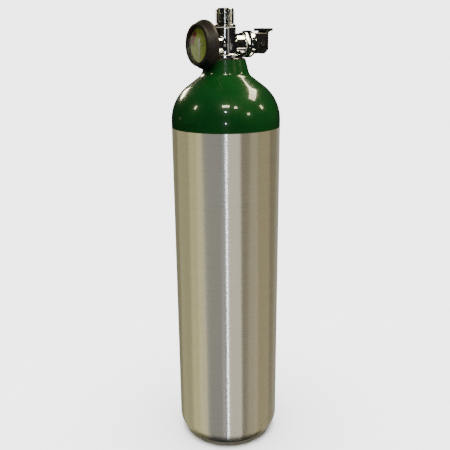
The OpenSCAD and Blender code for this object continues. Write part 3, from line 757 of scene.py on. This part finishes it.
def lever_field(p):
    """Cast lever: two cheeks joined by a web, and a thumb tab on top."""
    x, y, z = p
    u, w = x - pin_x, z - valve_z
    edge = 0.55
    side = outline_distance(u, w, cheek_outline()) + edge
    wide = np.abs(y) - lever_half + edge
    outside = np.hypot(np.maximum(side, 0), np.maximum(wide, 0))
    cheeks = np.minimum(np.maximum(side, wide), 0) + outside - edge
    local = (u, y, w)
    tab = block(local, (edge_x - 7.4, -lever_half, tab_rise - tab_h), (tab_x, lever_half, tab_rise), 0.7)
    lever = join(cheeks, tab, 0.9)
    lever = np.maximum(lever, w - tab_rise)
    reach = 20
    slot = block(local, (-reach, -slot_half, -reach), (web_x, slot_half, tab_rise - tab_h), 0.5)
    lever = cut(lever, slot, 0.3)
    return cut(lever, round_bar(p, 1, (pin_x, valve_z), pin_r + run_gap, -reach, reach))


def make_lever():
    points, faces = skin_of(lever_field, low("toggle_lever"), high("toggle_lever"), 0.32)
    new_piece("lever_casting", points, faces, body="lever", node="toggle_lever", crease=45,
              **finish_of("black_enamel"))


# ---------- gauge ----------


def make_boot():
    """Rubber boot with a rolled front lip and a wider back."""
    window_r = dial_r - 0.85
    front_r = case_r + 1.8
    back_r = high("gauge_boot").y
    edge = 2
    lip = 1.2
    hole_r = 8
    outline = ([(hole_r, boot_back)] + arc(back_r - edge, boot_back + edge, edge, -90, 0, 10)
               + curve((back_r, boot_back + 3.2), (back_r, boot_back + 5),
                       (front_r + 1.1, boot_front - 4.4), 10)
               + curve((front_r + 0.5, boot_front - 3.2), (front_r, boot_front - 2.6),
                       (front_r, boot_front - lip), 5)
               + arc(front_r - lip, boot_front - lip, lip, 0, 90, 8)[1:]
               + [(window_r + 0.7, boot_front)] + curve((window_r + 0.7, boot_front), (window_r, boot_front),
                                                        (window_r, boot_front - 0.6), 4)
               + [(window_r, bezel_front), (case_r, bezel_front), (case_r, gauge_back), (hole_r, gauge_back)])
    turned("gauge_boot_moulded", outline, None, 192, body="cylinder", node="gauge_boot", crease=60,
           place=along_gauge(), **finish_of("black_rubber"))


def clock(r, share):
    """Point on the dial at radius r. share runs from 0, empty at 9 o'clock, clockwise to 1, full at 6."""
    a = math.radians(270 + 270 * share)
    return r * math.cos(a), -r * math.sin(a)


def plate(name, outlines, bottom, top, material, slot_name):
    """Thin flat print on the dial: each outline is a ring of points, filled and given a thickness."""
    points = []
    faces = []
    for ring in outlines:
        start = len(points)
        count = len(ring)
        points += [(x, y, bottom) for x, y in ring] + [(x, y, top) for x, y in ring]
        if count > 4:
            half = count // 2
            pairs = [(i, count - 1 - i) for i in range(half)]
            for (a, b), (c, d) in zip(pairs, pairs[1:]):
                faces.append([start + i for i in (a, c, d, b)])
                faces.append([start + count + i for i in (a, c, d, b)])
        else:
            faces.append([start + i for i in range(count)])
            faces.append([start + count + i for i in range(count)])
        for i in range(count):
            k = (i + 1) % count
            faces.append([start + i, start + k, start + count + k, start + count + i])
    new_piece(name, points, faces, body="cylinder", slot=slot_name, material=material, place=along_gauge())


def band(inner, outer, first, last, steps):
    """Ring sector on the dial."""
    shares = np.linspace(first, last, steps + 1)
    return [clock(outer, s) for s in shares] + [clock(inner, s) for s in shares[::-1]]


def tick(inner, outer, share, width):
    x, y = clock(1, share)
    side = (-y * width / 2, x * width / 2)
    return [(x * inner + side[0], y * inner + side[1]), (x * outer + side[0], y * outer + side[1]),
            (x * outer - side[0], y * outer - side[1]), (x * inner - side[0], y * inner - side[1])]


def make_dial_print():
    """Scale of a pressure gauge: a red refill zone, ticks, and plain numbers in thousands."""
    scale_r = dial_r - 1.9
    ink = 0.05
    top = dial_front + ink
    zone_width = 5.6
    zone_end = 0.235
    number_r = scale_r - 4.1
    red_zone = [band(scale_r - zone_width, scale_r, 0, zone_end, 24)]
    plate("dial_red_zone", red_zone, dial_front, top, DIAL_RED, "dial_face")
    ticks = [tick(scale_r - (2.2 if i % 5 == 0 else 1.2), scale_r, i / 30, 0.36 if i % 5 == 0 else 0.2)
             for i in range(31)]
    plate("dial_ticks", ticks, top, top + ink, DIAL_INK, "dial_face")
    for value in range(4):
        make_number(str(value), clock(number_r, value / 3), top)


def make_number(text, centre, bottom):
    half_ink = 0.03
    letters = bpy.data.curves.new("number_" + text, "FONT")
    letters.body = text
    letters.size = 3.4
    letters.align_x = "CENTER"
    letters.align_y = "CENTER"
    letters.extrude = half_ink
    letters.resolution_u = 4
    source = bpy.data.objects.new("number_source_" + text, letters)
    bpy.context.scene.collection.objects.link(source)
    bpy.context.view_layer.update()
    mesh = bpy.data.meshes.new_from_object(source.evaluated_get(bpy.context.evaluated_depsgraph_get()))
    bpy.data.objects.remove(source)
    points = [(v.co.y + centre[0], centre[1] - v.co.x, v.co.z + bottom + half_ink) for v in mesh.vertices]
    faces = [tuple(f.vertices) for f in mesh.polygons]
    new_piece("dial_number_" + text, points, faces, body="cylinder", slot="dial_face",
              material=DIAL_INK, place=along_gauge())


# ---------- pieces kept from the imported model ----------

KEPT = {
    "black_rubber": ["neck_o_ring", "spindle_o_ring", "lens_gasket"],
    "brass": ["anti_debris_tube", "gauge_socket", "bourdon_tube", "movement_plates", "sector_gear",
              "safety_plug"],
    "white_nylon": ["outlet_gasket", "bonnet_gasket", "seat_disc", "gauge_seal", "burst_gasket"],
    "sintered_bronze": ["outlet_filter"],
    "copper": ["burst_disc"],
    "stainless_steel": ["spindle", "closing_spring", "lever_pin", "pin_clips", "gauge_case", "movement_link",
                        "pinion_arbor", "hairspring", "dial_screws", "gauge_bezel"],
    "dial_face": ["gauge_dial"],
    "pointer_white": ["gauge_pointer"],
    "clear_lens": ["gauge_lens"],
}


def finish_kept_nodes():
    for slot_name, nodes in KEPT.items():
        for name in nodes:
            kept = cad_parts[name]
            kept.data.materials.clear()
            kept.data.materials.append(FINISHES[slot_name])


# ---------- stage, lights and camera, in metres ----------

camera_at = Vector((-0.375, -0.516, 0.442))
camera_turn = math.radians(-36)
camera_tilt = math.radians(17.2)
camera_roll = math.radians(0.5)
camera_lens = 49.4
middle = Vector((0, 0, tank_h * MM * 0.5))
shoulder = Vector((0, 0, tank_h * MM * 0.92))
room_light = 0.015
backdrop_light = 4.0
floor_sun = 14.5


def make_camera():
    data = bpy.data.cameras.new("camera")
    data.lens = camera_lens
    data.sensor_width = 36
    camera = bpy.data.objects.new("camera", data)
    camera.location = camera_at
    camera.rotation_euler = (math.pi / 2 - camera_tilt, camera_roll, camera_turn)
    bpy.context.scene.collection.objects.link(camera)
    bpy.context.scene.camera = camera


def make_stage():
    """Wide pale floor, which the eye sees and the object's reflections leave out."""
    reach = 6.0
    mesh = bpy.data.meshes.new("floor")
    corners = [(-reach, -reach, 0), (reach, -reach, 0), (reach, reach, 0), (-reach, reach, 0)]
    mesh.from_pydata(corners, [], [(0, 1, 2, 3)])
    floor = bpy.data.objects.new("floor", mesh)
    floor.visible_glossy = False
    floor.visible_diffuse = False
    bpy.context.scene.collection.objects.link(floor)
    paper = Finish("pale_paper", Specular_IOR_Level=0.1)
    grain = paper.noise(30, 3)
    paper.drive("Base Color", paper.mixed(grain, (0.86, 0.86, 0.86), (0.88, 0.88, 0.88)))
    paper.drive("Roughness", paper.between(grain, 0.8, 0.9))
    mesh.materials.append(paper.material)
    make_surround()
    return floor


def make_surround():
    """A white backdrop all round for the eye, and a dimmer room for what the object reflects."""
    world = bpy.data.worlds.new("studio")
    world.use_nodes = True
    tree = world.node_tree
    room = tree.nodes["Background"]
    room.inputs["Color"].default_value = (0.95, 0.97, 1.0, 1)
    room.inputs["Strength"].default_value = room_light
    backdrop = tree.nodes.new("ShaderNodeBackground")
    backdrop.inputs["Color"].default_value = (1, 1, 1, 1)
    backdrop.inputs["Strength"].default_value = backdrop_light
    seen = tree.nodes.new("ShaderNodeLightPath")
    mix = tree.nodes.new("ShaderNodeMixShader")
    tree.links.new(seen.outputs["Is Camera Ray"], mix.inputs[0])
    tree.links.new(room.outputs[0], mix.inputs[1])
    tree.links.new(backdrop.outputs[0], mix.inputs[2])
    tree.links.new(mix.outputs[0], tree.nodes["World Output"].inputs["Surface"])
    bpy.context.scene.world = world


def softbox(name, turn, rise, distance, size, power, colour, lit, aim, mirrored=True):
    """Area light at an angle from the camera's side, in degrees to its right and above level."""
    a = camera_turn + math.radians(turn)
    e = math.radians(rise)
    out = Vector((math.sin(a) * math.cos(e), -math.cos(a) * math.cos(e), math.sin(e)))
    data = bpy.data.lights.new(name, "AREA")
    data.shape = "RECTANGLE"
    data.size, data.size_y = size
    data.energy = power
    data.color = colour
    light = bpy.data.objects.new(name, data)
    light.location = aim + out * distance
    light.rotation_euler = (-out).to_track_quat("-Z", "Y").to_euler()
    light.visible_glossy = mirrored
    place_light(light, lit)


def place_light(light, lit):
    """Puts a light in the scene that shines on the group called lit, and isn't seen itself."""
    light.visible_camera = False
    light.light_linking.receiver_collection = bpy.data.collections[lit]
    bpy.context.scene.collection.objects.link(light)


# The room round the bare barrel, whose turning rings draw it out into upright bands:
# first and last degree to the camera's right, brightness and colour
BANDS = [
    (-180, -125, 0.35, (1.0, 0.93, 0.58)),
    (-125, -85, 0.6, (1.0, 0.94, 0.54)),
    (-85, -65, 0.9, (1.0, 0.94, 0.50)),
    (-65, -50, 1.1, (1.0, 0.94, 0.58)),
    (-50, -10, 0.5, (1.0, 0.97, 0.88)),
    (-10, 0, 0.5, (0.96, 0.97, 1.0)),
    (0, 1, 26.0, (0.84, 0.92, 1.0)),
    (1, 5, 0.7, (0.96, 0.97, 1.0)),
    (5, 30, 1.2, (1.0, 0.93, 0.78)),
    (30, 50, 0.4, (1.0, 0.90, 0.66)),
    (50, 70, 0.65, (1.0, 0.90, 0.62)),
    (70, 105, 0.55, (1.0, 0.87, 0.52)),
    (105, 135, 0.35, (1.0, 0.88, 0.58)),
    (135, 180, 0.5, (1.0, 0.94, 0.76)),
]
band_distance = 1.5
band_height = 2.6
band_rise = -15

# Windows and lamps that show as glints in the enamel and the chrome: name,
# degrees to the camera's right and above level, distance, width, height, watts and colour
LAMPS = [
    ("window_behind", 110, 50, 1.5, 1.0, 0.3, 20, (1.0, 0.88, 0.58)),
    ("window_left", -145, 20, 1.5, 0.45, 0.2, 7, (1.0, 0.92, 0.60)),
    ("lamp_front", 0, 45, 1.5, 0.35, 0.15, 5.5, (1.0, 0.91, 0.66)),
    ("lamp_right", 25, 40, 1.5, 0.15, 0.15, 1.8, (1.0, 0.89, 0.60)),
    ("lamp_low_left", -75, 30, 1.5, 0.1, 0.2, 2.0, (1.0, 0.90, 0.58)),
    ("lamp_low_right", 50, 20, 1.5, 0.15, 0.12, 1.4, (1.0, 0.90, 0.60)),
    ("lamp_side", 90, 25, 1.5, 0.15, 0.2, 2.0, (1.0, 0.88, 0.56)),
    ("flash", 0, 30, 1.5, 0.07, 0.05, 1.6, (0.88, 0.94, 1.0)),
    ("flash_low", 0, 0, 1.5, 0.05, 0.06, 1.3, (0.80, 0.88, 1.0)),
    ("window_pane", -110, 0, 1.5, 0.05, 0.10, 0.02, (1.0, 0.95, 0.80)),
]

# Lit walls and the table top, which show only in the valve, the lever and the gauge: the same columns
WALLS = [
    ("flash_tall", -5, 0, 1.5, 0.09, 0.45, 0.7, (0.80, 0.88, 1.0)),
    ("wall_left", -85, -5, 1.5, 0.5, 0.7, 0.5, (1.0, 0.92, 0.50)),
    ("wall_right", 55, -5, 1.5, 0.7, 0.5, 0.45, (1.0, 0.94, 0.80)),
    ("table_right", 80, -30, 0.5, 0.16, 0.04, 0.12, (1.0, 0.91, 0.68)),
    ("table_behind", 125, -50, 0.42, 0.2, 0.05, 0.15, (1.0, 0.90, 0.66)),
]

# Soft lights that brighten colours and don't show as reflections: the same columns
FILLS = [
    ("fill_above", 25, 50, 1.5, 1.2, 1.2, 19, (1.0, 0.96, 0.84)),
    ("fill_gauge", -60, 10, 1.5, 0.6, 0.6, 3, (1.0, 0.98, 0.90)),
]


def group(name, members):
    made = bpy.data.collections.new(name)
    for member in members:
        made.objects.link(member)


def make_lights(floor):
    barrel = bpy.data.objects["cylinder_turned"]
    enamel = bpy.data.objects["enamel_coat"]
    meshes = [o for o in bpy.context.scene.objects if o.type == "MESH"]
    fittings = [o for o in meshes if o not in (floor, barrel, enamel)]
    group("floor_only", [floor])
    group("barrel_only", [barrel])
    group("fittings_only", fittings)
    group("enamel_and_fittings", [enamel] + fittings)
    sky = bpy.data.lights.new("floor_light", "SUN")
    sky.energy = floor_sun
    sky.angle = math.radians(60)
    place_light(bpy.data.objects.new("floor_light", sky), "floor_only")
    for first, last, brightness, colour in BANDS:
        width = 2 * band_distance * math.tan(math.radians(last - first) / 2)
        watts = brightness * math.pi * width * band_height
        softbox("band", (first + last) / 2, band_rise, band_distance, (width, band_height), watts, colour,
                "barrel_only", middle)
    both = "enamel_and_fittings"
    for lights, lit, mirrored in ((LAMPS, both, True), (FILLS, both, False), (WALLS, "fittings_only", True)):
        for name, turn, rise, distance, width, height, watts, colour in lights:
            softbox(name, turn, rise, distance, (width, height), watts, colour, lit, shoulder, mirrored)


make_camera()
make_shell()
make_enamel()
make_valve_body()
make_outlet()
make_bonnet()
make_thrust_washer()
make_lever()
make_boot()
make_dial_print()
finish_kept_nodes()
make_lights(make_stage())
